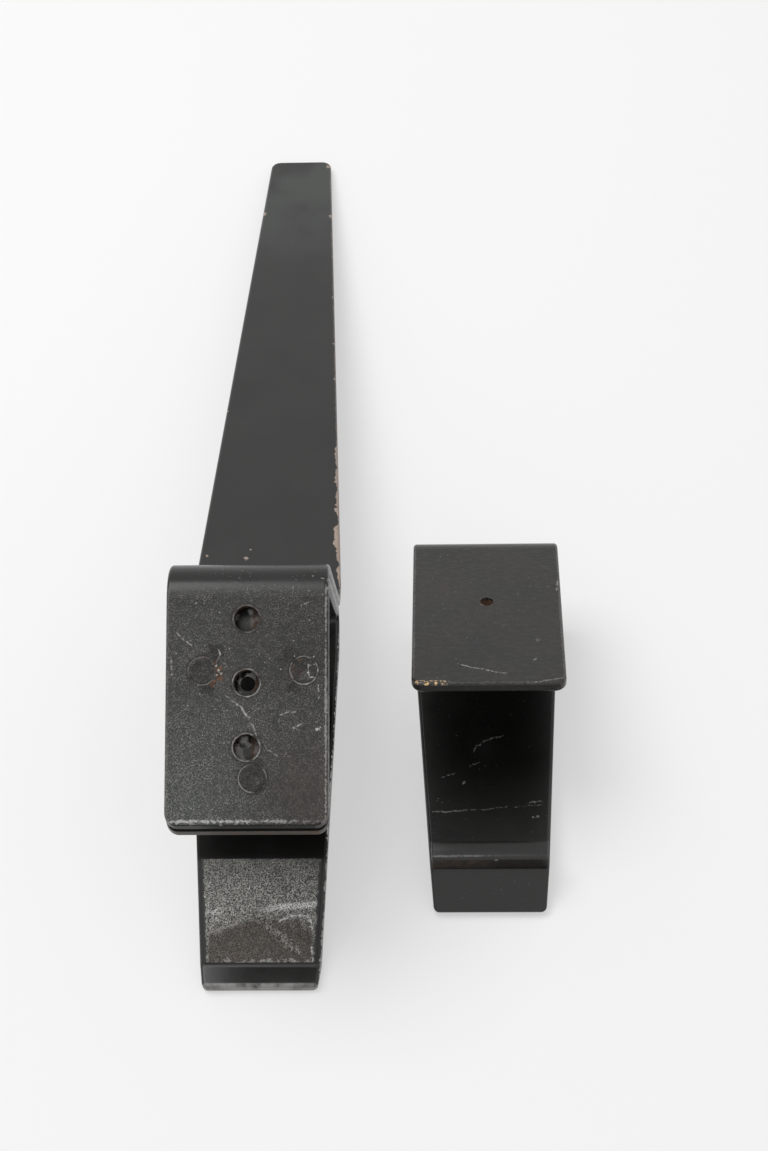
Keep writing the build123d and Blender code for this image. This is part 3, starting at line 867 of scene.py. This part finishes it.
def keeper_material():
    """The keeper: smooth satin paint, a brassy worn front corner and scratches in the jaw."""
    material, g, shader = start_material("Keeper paint")
    plate = g.on_face(KEEPER)
    across, along, out = g.parts(plate)
    on_plate = g.ramp(out, -5, -3.4)
    on_top = g.ramp(out, -0.8, -0.35)
    front_gap = g.minus(along, KEEPER_FRONT)
    side_gap = g.minus(HALF_WIDTH, g.unsigned(across))
    front_wear = g.edge(plate, front_gap, 0.6)["Line"]
    side_wear = g.edge(plate, side_gap, 0.5)["Line"]
    brass_zone = g.times(g.ramp(across, -9, -12), g.ramp(front_gap, 1.6, 0.8))
    brass = g.times(brass_zone, g.ramp(out, -0.6, -0.3), g.patches(plate, 1250, 0.48, 0.56, 4, 0.6))
    marks = scratches(g, plate, KEEPER_MARKS)
    hair = g.use("hair", Vector=plate, Amount=0.3)
    hole = g.use("hole", Vector=plate, Centre=(0, 0, 0), Radius=HOOK_RADIUS)
    wall = g.times(hole["Wall"], g.ramp(out, -0.5, -1.0))
    jaw = g.on_face(KEEPER_JAW)
    inner = g.mapped(jaw, location=(0, 0, STRIP_THICKNESS))
    jaw_marks = scratches(g, inner, KEEPER_JAW_MARKS)
    jaw_hair = g.use("hair", Vector=inner, Amount=0.3)
    on_jaw = g.ramp(out, -14, -20)
    rubbed = g.times(on_top, g.most(g.times(front_wear, 0.07), g.times(side_wear, 0.12)))
    plate_wear = g.most(marks, g.times(hair["Mask"], 0.15), hair["Flecks"], rubbed, brass)
    jaw_wear = g.most(jaw_marks, g.times(jaw_hair["Mask"], 0.12), g.times(jaw_hair["Flecks"], 0.5))
    brushed = g.mapped(plate, scale=(420, 900, 420), kind="POINT")
    # Painted shade on the keeper's raw front end, and far into the jaw under the plate
    raw_end = g.times(g.ramp(front_gap, 0.6, 0.3), g.ramp(out, -0.3, -0.8), 0.55)
    shade_under_plate = g.ramp(g.parts(jaw)["Y"], 18, 34)
    finish_paint(
        g, shader,
        Grain=g.times(on_plate, g.patches(brushed, 1.0, 0.35, 0.75), 0.22),
        Brown=g.times(on_plate, g.patches(plate, 70, 0.35, 0.7), 0.3),
        Bare=g.most(g.times(on_plate, plate_wear), g.times(on_jaw, jaw_wear)),
        Rust=g.times(wall, on_plate, 0.75),
        Soot=g.most(g.times(on_plate, raw_end), g.times(on_jaw, shade_under_plate, 0.45)),
        topcoat=(g.times(brass, on_plate), bpy.context.scene.latch_finish.brass))
    return material


def rivet_material():
    """Rivets: the plate's own paint, duller and darker, with rust low in the dished one."""
    material, g, shader = start_material("Rivet paint")
    plate = g.on_face(PLATE)
    across, _, out = g.parts(plate)
    shown = g.ramp(out, -2.0, -0.6)
    flat = g.flat(plate)
    rubbed = g.patches(plate, 520, 0.60, 0.74, 4, 0.6)
    middle = plate_place("rivet_right")[0]
    from_middle = g.minus(across, middle)
    rust = g.times(g.ramp(from_middle, 0.6, -1.6), g.ramp(from_middle, -4, -3))
    finish_paint(
        g, shader,
        Grain=g.times(shown, 0.6),
        Brown=g.times(g.noise(plate, 160, 3), 0.15),
        Soot=g.times(shown, 0.3),
        Bare=g.times(shown, g.most(g.times(rubbed, 0.2), scratches(g, flat, RIVET_MARKS))),
        Rust=g.times(shown, rust, g.patches(plate, 330, 0.48, 0.62), 0.45))
    return material


def burr_material():
    """Raised rims and burrs: steel where they are rubbed, paint and rust between."""
    material, g, shader = start_material("Rubbed burr")
    place = g.position()
    finish_paint(
        g, shader,
        Grain=0.5,
        Brown=g.times(g.noise(place, 300, 3), 0.6),
        Soot=0.3,
        Bare=g.times(g.patches(place, 420, 0.46, 0.66, 4, 0.6), 0.22),
        Rust=g.times(g.patches(place, 240, 0.58, 0.7), 0.5))
    return material


def rust_crumb_material():
    """Orange crumbs of rust, and the torn bright flake above them, beside the left rivet."""
    material, g, shader = start_material("Rust crumbs")
    place = g.position()
    flake = g.ramp(g.parts(g.on_face(PLATE))["Y"], 3.4, 4.8)
    torn = g.patches(place, 700, 0.54, 0.64)
    peeled = g.times(flake, g.patches(place, 620, 0.36, 0.56))
    rusty = g.patches(place, 500, 0.34, 0.52)
    finish_paint(
        g, shader,
        Grain=0.5,
        Brown=g.noise(place, 300, 3),
        Bare=g.most(g.times(torn, 0.8), g.times(peeled, 0.55)),
        Rust=g.times(rusty, g.line(flake, -0.85, 1.0)))
    return material


def lining_stain(g, jaw, uneven):
    """The brown, pressed front of the lining, with a bowed border and a streak left clean."""
    across, along, _ = g.parts(jaw)
    bow = g.math("POWER", g.minus(across, 1.5 * MM), 2.0)
    pressed_to = g.line(bow, -18.0, 12.0 * MM)
    pressed = g.ramp(g.minus(g.plus(along, uneven), pressed_to), 2.0, -1.8)
    streak = scratches(g, g.flat(jaw), LINING_STREAK)
    borders = g.ramp(g.unsigned(across), 12.4, 13.2)
    return g.times(pressed, g.minus(1.0, g.most(streak, g.times(borders, 0.7))))


def lining_rub(g, jaw, uneven, grains):
    """Bright rubbing on the lining's ridge and front edge, and its long marks."""
    across, along, _ = g.parts(jaw)
    ridge_gap = g.unsigned(g.minus(along, g.line(across, RIDGE_SLANT, RIDGE_PLACE)))
    ridge = g.times(g.ramp(ridge_gap, 1.1, 0.4), g.ramp(across, -1, 5))
    faint = g.times(g.ramp(ridge_gap, 1.2, 0.2), g.ramp(across, -8, -11), 0.35)
    front = g.times(g.ramp(g.plus(along, uneven), 1.8, 1.4), 0.5)
    lines = scratches(g, g.flat(jaw), LINING_MARKS)
    return g.most(g.times(g.most(ridge, faint, front), g.smooth(grains, 0.36, 0.58)), lines)


def lining_border(g, jaw, coarse):
    """A ragged painted border along the lining's two sides."""
    across, along, _ = g.parts(jaw)
    slope = (LINING_FAR_HALF - LINING_NEAR_HALF) / LINING_LENGTH
    half = g.line(along, slope, LINING_NEAR_HALF - slope * LINING_NEAR)
    edge_gap = g.minus(half, g.unsigned(across))
    return g.ramp(g.line(g.minus(coarse, 0.5), 1.6 * MM, edge_gap), 0.85, 0.45)


def lining_material():
    """Grip lining: grey and gritty, brown where it was pressed, rubbed bright on its ridge."""
    finish = bpy.context.scene.latch_finish
    material, g, shader = start_material("Grip lining")
    jaw = g.on_face(JAW)
    grains = g.noise(jaw, 3400, 2, 0.65)
    coarse = g.noise(jaw, 620, 4, 0.6)
    uneven = g.times(g.minus(coarse, 0.5), 4.5 * MM)
    clumps = g.line(g.smooth(coarse, 0.3, 0.7), 0.4, 0.5)
    speckle = g.times(g.smooth(grains, 0.43, 0.59), clumps)
    paler = g.line(g.ramp(g.parts(jaw)["Y"], 27, 16), 0.55, 0.5)
    color = g.blend(g.times(speckle, paler), finish.lining, LINING_GRIT)
    dark = g.blend(g.times(speckle, 0.75), LINING_BROWN, LINING_BROWN_GRIT)
    color = g.blend(g.times(lining_stain(g, jaw, uneven), 0.92), color, dark)
    rubbed = lining_rub(g, jaw, uneven, grains)
    color = g.blend(rubbed, color, LINING_RUBBED)
    color = g.blend(lining_border(g, jaw, coarse), color, finish.paint)
    g.feed(shader.inputs["Base Color"], color)
    g.feed(shader.inputs["Roughness"], g.between(rubbed, g.line(coarse, 0.3, 0.5), 0.4))
    raise_bump(g, shader, g.times(g.plus(grains, coarse), 0.10 * MM))
    return material


def stop_bar_material():
    """Stop bar: painted top, raw brown front and a rubbed upper edge."""
    material, g, shader = start_material("Stop bar paint")
    jaw = g.on_face(KEEPER_JAW)
    across, along, out = g.parts(jaw)
    front_gap = g.minus(along, BAR_NEAR)
    front = g.ramp(front_gap, 0.5, 0.2)
    upper = g.smooth(out, BAR_TOP - 0.9 * MM, BAR_TOP - 0.4 * MM)
    left = g.ramp(across, 3, -4)
    wear = g.edge(jaw, front_gap, 0.5)["Line"]
    rubbed = g.times(wear, upper, g.line(left, 0.2, 0.02))
    raw = g.times(front, g.minus(1.0, upper))
    nick = (1.6 * MM, BAR_NEAR, BAR_TOP - 1.2 * MM)
    spot = g.use("blot", Vector=jaw, Centre=nick, Radius=0.5 * MM)["Mask"]
    finish_paint(
        g, shader,
        Grain=g.times(raw, left, 0.4),
        Brown=g.times(raw, g.line(left, 0.5, 0.2)),
        Soot=g.times(raw, 0.22),
        Bare=g.most(rubbed, g.times(spot, 0.6)),
        Rust=g.times(raw, left, g.patches(jaw, 420, 0.52, 0.70), 0.3))
    return material


def dress(node, material):
    """Give a CAD node its finish."""
    piece = frame["nodes"][node]
    piece.data.materials.clear()
    piece.data.materials.append(material)


def begin(add, name, **settings):
    """Add a primitive with nothing else selected, and name it."""
    bpy.ops.object.select_all(action="DESELECT")
    add(**settings)
    piece = bpy.context.object
    piece.name = name
    piece.data.name = name
    return piece


def mode(name):
    bpy.ops.object.mode_set(mode=name)


def choose(piece, kind, test):
    """Select only the vertices, edges or faces that pass a test; the piece is in edit mode."""
    bpy.ops.mesh.select_mode(type=kind)
    bpy.ops.mesh.select_all(action="DESELECT")
    mesh = bmesh.from_edit_mesh(piece.data)
    items = {"VERT": mesh.verts, "EDGE": mesh.edges, "FACE": mesh.faces}[kind]
    for item in items:
        if test(item):
            item.select_set(True)
    mesh.select_flush_mode()
    bmesh.update_edit_mesh(piece.data)


def lies_at(height):
    """A test for edges that lie level at a height."""
    return lambda edge: all(abs(vert.co.z - height) < TOUCHING for vert in edge.verts)


def extrude(*shift):
    bpy.ops.mesh.extrude_region_move(TRANSFORM_OT_translate={"value": shift})


def resize(x, y, z, centre=(0, 0, 0)):
    bpy.ops.transform.resize(value=(x, y, z), center_override=centre)


def face_outwards():
    bpy.ops.mesh.select_all(action="SELECT")
    bpy.ops.mesh.normals_make_consistent(inside=False)


def apply_place():
    bpy.ops.object.transform_apply(location=True, rotation=True, scale=True)


def roughen(piece, strength, grain, test=None):
    """Displace the vertices that pass a test, or all, by a fixed cloud pattern, and keep the result."""
    texture = bpy.data.textures.new(f"{piece.name}_grain", "CLOUDS")
    texture.noise_scale = grain
    texture.noise_depth = 3
    modifier = piece.modifiers.new("Grain", "DISPLACE")
    modifier.texture = texture
    modifier.texture_coords = "LOCAL"
    modifier.strength = strength
    modifier.mid_level = 0.5
    if test:
        rough = piece.vertex_groups.new(name="rough")
        rough.add([vert.index for vert in piece.data.vertices if test(vert.co)], 1.0, "REPLACE")
        modifier.vertex_group = rough.name
    bpy.ops.object.modifier_apply(modifier=modifier.name)


def settle(piece, face, x, y, z):
    """Put a piece that was modelled at the origin onto a face, and leave its place in its mesh."""
    piece.matrix_world = face.frame() @ Matrix.Translation((x, y, z))
    apply_place()


def hand_over(piece, body, material, node=None):
    """Smooth a finished piece, give it its material, hang it under its body's empty and hide the CAD node
    it stands in for.
    """
    piece.data.materials.append(material)
    bpy.ops.object.shade_smooth_by_angle(angle=SMOOTH_ANGLE)
    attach(piece, body)
    if node:
        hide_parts(node)


def dish_face(piece, dish):
    """Sink a rivet's face in rings that get steeper towards its middle."""
    choose(piece, "FACE", lambda face: face.normal.z > 0.99)
    ring = (RIVET_RADIUS - RIVET_RIM) / (RIVET_RINGS + 1)
    for turn in range(RIVET_RINGS):
        sunk = dish * 2 * (turn + 1) / (RIVET_RINGS * (RIVET_RINGS + 1))
        bpy.ops.mesh.inset(thickness=ring, depth=-sunk)
    bpy.ops.mesh.poke()
    bpy.ops.mesh.select_mode(type="VERT")


def make_rivet(node, dish, dent, material):
    """A flush rivet: dished face with a chamfered rim, shank, and a low formed head behind."""
    sink = bpy.context.scene.latch_sizes.rivet_sink
    depth = RIVET_GRIP - sink
    piece = begin(
        bpy.ops.mesh.primitive_cylinder_add, f"{node}_set", vertices=RIVET_SIDES, radius=RIVET_RADIUS,
        depth=depth, location=(0, 0, -sink - depth / 2))
    bpy.ops.object.transform_apply(location=True)
    mode("EDIT")
    choose(piece, "FACE", lambda face: face.normal.z < -0.5)
    extrude(0, 0, 0)
    spread = RIVET_HEAD_RADIUS / RIVET_RADIUS
    resize(spread, spread, 1, (0, 0, -RIVET_GRIP))
    extrude(0, 0, -RIVET_HEAD_HEIGHT)
    choose(piece, "EDGE", lies_at(-RIVET_GRIP - RIVET_HEAD_HEIGHT))
    bpy.ops.mesh.bevel(offset=RIVET_HEAD_ROUND, segments=ROUND_SEGMENTS, affect="EDGES")
    choose(piece, "EDGE", lies_at(-sink))
    bpy.ops.mesh.bevel(offset=RIVET_RIM, segments=2, affect="EDGES")
    dish_face(piece, dish)
    mode("OBJECT")
    lowest = -sink - dish - 0.1 * MM
    inside_rim = RIVET_RADIUS - 1.5 * RIVET_RIM
    roughen(piece, dent, RIVET_DENT_SIZE, lambda place: place.z > lowest and place.xy.length < inside_rim)
    settle(piece, PLATE, *plate_place(node))
    hand_over(piece, "lever", material, node)


def cut_to_arc(piece, middle, half_arc):
    """Leave only part of a ring, and close its two ends."""
    aim = Vector((cos(middle), sin(middle)))
    mode("EDIT")
    choose(piece, "VERT", lambda vert: vert.co.xy.normalized().dot(aim) < cos(half_arc))
    bpy.ops.mesh.delete(type="VERT")
    bpy.ops.mesh.select_all(action="SELECT")
    bpy.ops.mesh.fill_holes(sides=0)
    face_outwards()
    mode("OBJECT")


def make_rim(name, body, face, place, radius, height, material, arc=None):
    """A raised burr round a hole, or round part of it, sunk into the plate."""
    piece = begin(
        bpy.ops.mesh.primitive_torus_add, name, major_radius=radius + height * RIM_OUTSET,
        minor_radius=height, major_segments=RIM_SEGMENTS, minor_segments=RIM_SIDES)
    if arc:
        cut_to_arc(piece, *arc)
    roughen(piece, height * RIM_ROUGHNESS, RIM_GRAIN)
    settle(piece, face, place[0], place[1], -height * RIM_SINK)
    hand_over(piece, body, material)


def make_crumbs(material):
    """Loose grains of rust and a torn flake beside the left rivet, joined to one piece."""
    grains = []
    for order, (x, y, half_width, half_length, turn) in enumerate(CRUMBS):
        grain = begin(
            bpy.ops.mesh.primitive_ico_sphere_add, f"grain_{order}", subdivisions=3, radius=half_width * MM)
        bpy.ops.transform.resize(value=(1.0, half_length / half_width, CRUMB_FLATNESS))
        grain.rotation_euler = (0, 0, turn)
        grain.location = (x * MM, y * MM, 0)
        apply_place()
        grains.append(grain)
    for grain in grains:
        grain.select_set(True)
    bpy.ops.object.join()
    piece = bpy.context.object
    piece.name = "rust_crumbs"
    roughen(piece, CRUMB_ROUGHNESS, CRUMB_GRAIN)
    settle(piece, PLATE, 0, 0, 0)
    hand_over(piece, "lever", material)


def shape_lining_top(piece, height):
    """Taper the lining's sides, round its border off and raise the ridge across it."""
    for vert in piece.data.vertices:
        from_near = vert.co.y - LINING_NEAR
        half = LINING_NEAR_HALF + (LINING_FAR_HALF - LINING_NEAR_HALF) * (from_near / LINING_LENGTH)
        vert.co.x *= half / LINING_FAR_HALF
        inset = min(half - abs(vert.co.x), from_near, LINING_NEAR + LINING_LENGTH - vert.co.y)
        vert.co.z = -LINING_EDGE_DROP * max(0.0, 1 - inset / LINING_EDGE_WIDTH) ** 2
        ridge = (vert.co.y - RIDGE_PLACE - RIDGE_SLANT * vert.co.x) / RIDGE_HALF_WIDTH
        right = min(1.0, max(RIDGE_LEFT_SHARE, (vert.co.x - RIDGE_RISE_START) / RIDGE_RISE_LENGTH))
        vert.co.z += height * right / (1 + ridge * ridge) - height


def make_lining(material):
    """The rough lining on the lever's jaw, with a ridge across its middle."""
    sizes = bpy.context.scene.latch_sizes
    piece = begin(
        bpy.ops.mesh.primitive_grid_add, "grip_lining", size=1,
        x_subdivisions=round(2 * LINING_FAR_HALF / LINING_STEP),
        y_subdivisions=round(LINING_LENGTH / LINING_STEP))
    mode("EDIT")
    resize(2 * LINING_FAR_HALF, LINING_LENGTH, 1)
    bpy.ops.transform.translate(value=(0, LINING_NEAR + LINING_LENGTH / 2, 0))
    mode("OBJECT")
    shape_lining_top(piece, sizes.lining_ridge)
    roughen(piece, sizes.lining_grain, LINING_GRAIN_SIZE)
    mode("EDIT")
    bpy.ops.mesh.select_all(action="SELECT")
    extrude(0, 0, 0)
    resize(1, 1, 0, (0, 0, -LINING_THICKNESS))
    face_outwards()
    mode("OBJECT")
    settle(piece, JAW, 0, 0, LINING_BASE + LINING_THICKNESS)
    hand_over(piece, "lever", material, "grip_pad")


def make_stop_bar(material):
    """The stop bar across the keeper's jaw, with soft upper edges and slight dents."""
    piece = begin(bpy.ops.mesh.primitive_cube_add, "stop_rail", size=1)
    middle = BAR_NEAR + BAR_LENGTH / 2
    mode("EDIT")
    resize(2 * BAR_FAR_HALF, BAR_LENGTH, BAR_THICKNESS)
    bpy.ops.transform.translate(value=(0, middle, BAR_BASE + BAR_THICKNESS / 2))
    choose(piece, "VERT", lambda vert: vert.co.y < middle)
    resize(BAR_NEAR_HALF / BAR_FAR_HALF, 1, 1)
    choose(piece, "EDGE", lies_at(BAR_TOP))
    bpy.ops.mesh.bevel(offset=BAR_ROUND, segments=ROUND_SEGMENTS, affect="EDGES")
    bpy.ops.mesh.select_all(action="SELECT")
    bpy.ops.mesh.subdivide(number_cuts=BAR_CUTS)
    mode("OBJECT")
    roughen(piece, BAR_DENTS, BAR_DENT_SIZE, lambda place: place.z > BAR_BASE + 1.0 * MM)
    settle(piece, KEEPER_JAW, 0, 0, 0)
    hand_over(piece, "keeper", material, "stop_bar")


class LATCH_OT_hooks(bpy.types.Operator):
    """Paint the three folded strips"""

    bl_idname = "latch.hooks"
    bl_label = "Hooks"

    def execute(self, context):
        make_groups()
        dress("handle_strip", front_strip_material())
        dress("lever_clip", lever_material())
        dress("keeper_clip", keeper_material())
        return {"FINISHED"}


class LATCH_OT_rivets(bpy.types.Operator):
    """Model the three rivets that join the lever's two strips"""

    bl_idname = "latch.rivets"
    bl_label = "Rivets"

    def execute(self, context):
        material = rivet_material()
        for node, dish, dent in (
            ("rivet_left", 0.10 * MM, 0.12 * MM),
            ("rivet_right", 0.45 * MM, 0.40 * MM),
            ("rivet_lower", 0.16 * MM, 0.12 * MM),
        ):
            make_rivet(node, dish, dent, material)
        return {"FINISHED"}


class LATCH_OT_burrs(bpy.types.Operator):
    """Model the raised rims of the holes, the torn rivet edges and the rust crumbs"""

    bl_idname = "latch.burrs"
    bl_label = "Burrs"

    def execute(self, context):
        height = context.scene.latch_sizes.rim_height
        material = burr_material()
        for name, factor in (("upper", 0.4), ("middle", 0.9), ("lower", 0.5)):
            place = plate_place(f"screw_hole_{name}")
            make_rim(f"hole_rim_{name}", "lever", PLATE, place, SCREW_RADIUS, height * factor, material)
        make_rim("hole_rim_keeper", "keeper", KEEPER, (0, 0), HOOK_RADIUS, height * 1.5, material)
        for node, middle, half_arc, factor in (
            ("rivet_left", 0.35, 1.1, 1.7),
            ("rivet_right", 2.7, 1.35, 1.5),
            ("rivet_lower", 2.3, 1.0, 0.8),
        ):
            make_rim(
                f"{node}_burr", "lever", PLATE, plate_place(node), RIVET_RADIUS, height * factor, material,
                (middle, half_arc))
        make_crumbs(rust_crumb_material())
        return {"FINISHED"}


class LATCH_OT_lining(bpy.types.Operator):
    """Model the rough grip lining on the lever's jaw"""

    bl_idname = "latch.lining"
    bl_label = "Grip lining"

    def execute(self, context):
        make_lining(lining_material())
        return {"FINISHED"}


class LATCH_OT_stop_bar(bpy.types.Operator):
    """Model the stop bar on the keeper's jaw"""

    bl_idname = "latch.stop_bar"
    bl_label = "Stop bar"

    def execute(self, context):
        make_stop_bar(stop_bar_material())
        return {"FINISHED"}


def seen_rays(g):
    """1 for rays that show the background: from the camera, mirrored or let through."""
    rays = g.node("ShaderNodeLightPath").outputs
    return g.most(rays["Is Camera Ray"], rays["Is Glossy Ray"], rays["Is Transmission Ray"])


def table_material(whiteness):
    """A plain pale table top with very faint clouding, that looks nearly white and keeps soft shadows."""
    material, g, shader = start_material("Pale table")
    clouds = g.noise(g.position(), 3, 3)
    g.feed(shader.inputs["Base Color"], g.blend(clouds, *TABLE_TONES))
    shader.inputs["Roughness"].default_value = TABLE_ROUGHNESS
    shader.inputs["Specular IOR Level"].default_value = TABLE_SPECULAR
    white = g.node("ShaderNodeEmission")
    mixed = g.node("ShaderNodeMixShader")
    g.feed(mixed.inputs[0], g.times(seen_rays(g), whiteness))
    g.feed(mixed.inputs[1], shader.outputs[0])
    g.feed(mixed.inputs[2], white.outputs[0])
    g.feed(material.node_tree.nodes["Material Output"].inputs["Surface"], mixed.outputs[0])
    return material


def white_world(strength):
    """An even sky that lights softly and is seen, and mirrored, as white."""
    world = bpy.data.worlds.new("White studio")
    world.use_nodes = True
    g = Graph(world.node_tree)
    background = world.node_tree.nodes["Background"]
    background.inputs["Color"].default_value = (1, 1, 1, 1)
    g.feed(background.inputs["Strength"], g.between(seen_rays(g), strength, 1.0))
    bpy.context.scene.world = world


def key_light(power):
    """A soft round light above, behind and to the left, aimed at the middle of the table."""
    bpy.ops.object.light_add(type="AREA", location=KEY_PLACE)
    key = bpy.context.object
    key.data.shape = "DISK"
    key.data.size = KEY_SIZE
    key.data.energy = power
    key.rotation_euler = (-key.location).to_track_quat("-Z", "Y").to_euler()


def photo_camera(stage):
    """The camera at the photograph's viewing angle."""
    forward = Vector((
        sin(stage.azimuth) * cos(stage.pitch), cos(stage.azimuth) * cos(stage.pitch), -sin(stage.pitch)))
    level = Vector((cos(stage.azimuth), -sin(stage.azimuth), 0))
    upright = level.cross(forward)
    right = cos(stage.roll) * level + sin(stage.roll) * upright
    up = cos(stage.roll) * upright - sin(stage.roll) * level
    turn = Matrix((right, up, -forward)).transposed().to_4x4()
    bpy.ops.object.camera_add()
    camera = bpy.context.object
    camera.matrix_world = Matrix.Translation(Vector(stage.target) - stage.distance * forward) @ turn
    camera.data.sensor_fit = "VERTICAL"
    camera.data.sensor_height = SENSOR_HEIGHT
    camera.data.lens = stage.lens
    bpy.context.scene.camera = camera


class LATCH_OT_stage(bpy.types.Operator):
    """Set the table, the light and the camera"""

    bl_idname = "latch.stage"
    bl_label = "Stage"

    def execute(self, context):
        stage = context.scene.latch_stage
        floor = begin(bpy.ops.mesh.primitive_plane_add, "table_top", size=TABLE_SIZE)
        floor.data.materials.append(table_material(stage.whiteness))
        white_world(stage.sky)
        key_light(stage.key_power)
        photo_camera(stage)
        context.scene.view_settings.view_transform = "Standard"
        return {"FINISHED"}


class LATCH_PT_panel(bpy.types.Panel):
    """Sidebar panel with the latch's pieces and settings"""

    bl_idname = "LATCH_PT_panel"
    bl_label = "Hook Latch"
    bl_space_type = "VIEW_3D"
    bl_region_type = "UI"
    bl_category = "Hook Latch"

    def draw(self, context):
        scene = context.scene
        for operator in OPERATORS:
            self.layout.operator(operator.bl_idname)
        for settings in (scene.latch_finish, scene.latch_sizes, scene.latch_stage):
            for name in settings.bl_rna.properties.keys():
                if name not in {"rna_type", "name"}:
                    self.layout.prop(settings, name)


OPERATORS = (
    LATCH_OT_hooks, LATCH_OT_rivets, LATCH_OT_burrs, LATCH_OT_lining, LATCH_OT_stop_bar, LATCH_OT_stage)
CLASSES = (LatchFinish, LatchSizes, LatchStage) + OPERATORS + (LATCH_PT_panel,)


def register():
    for item in CLASSES:
        bpy.utils.register_class(item)
    bpy.types.Scene.latch_finish = PointerProperty(type=LatchFinish)
    bpy.types.Scene.latch_sizes = PointerProperty(type=LatchSizes)
    bpy.types.Scene.latch_stage = PointerProperty(type=LatchStage)


def unregister():
    del bpy.types.Scene.latch_stage
    del bpy.types.Scene.latch_sizes
    del bpy.types.Scene.latch_finish
    for item in reversed(CLASSES):
        bpy.utils.unregister_class(item)


def main():
    register()
    bpy.ops.latch.hooks()
    bpy.ops.latch.rivets()
    bpy.ops.latch.burrs()
    bpy.ops.latch.lining()
    bpy.ops.latch.stop_bar()
    bpy.ops.latch.stage()


if __name__ == "__main__":
    main()
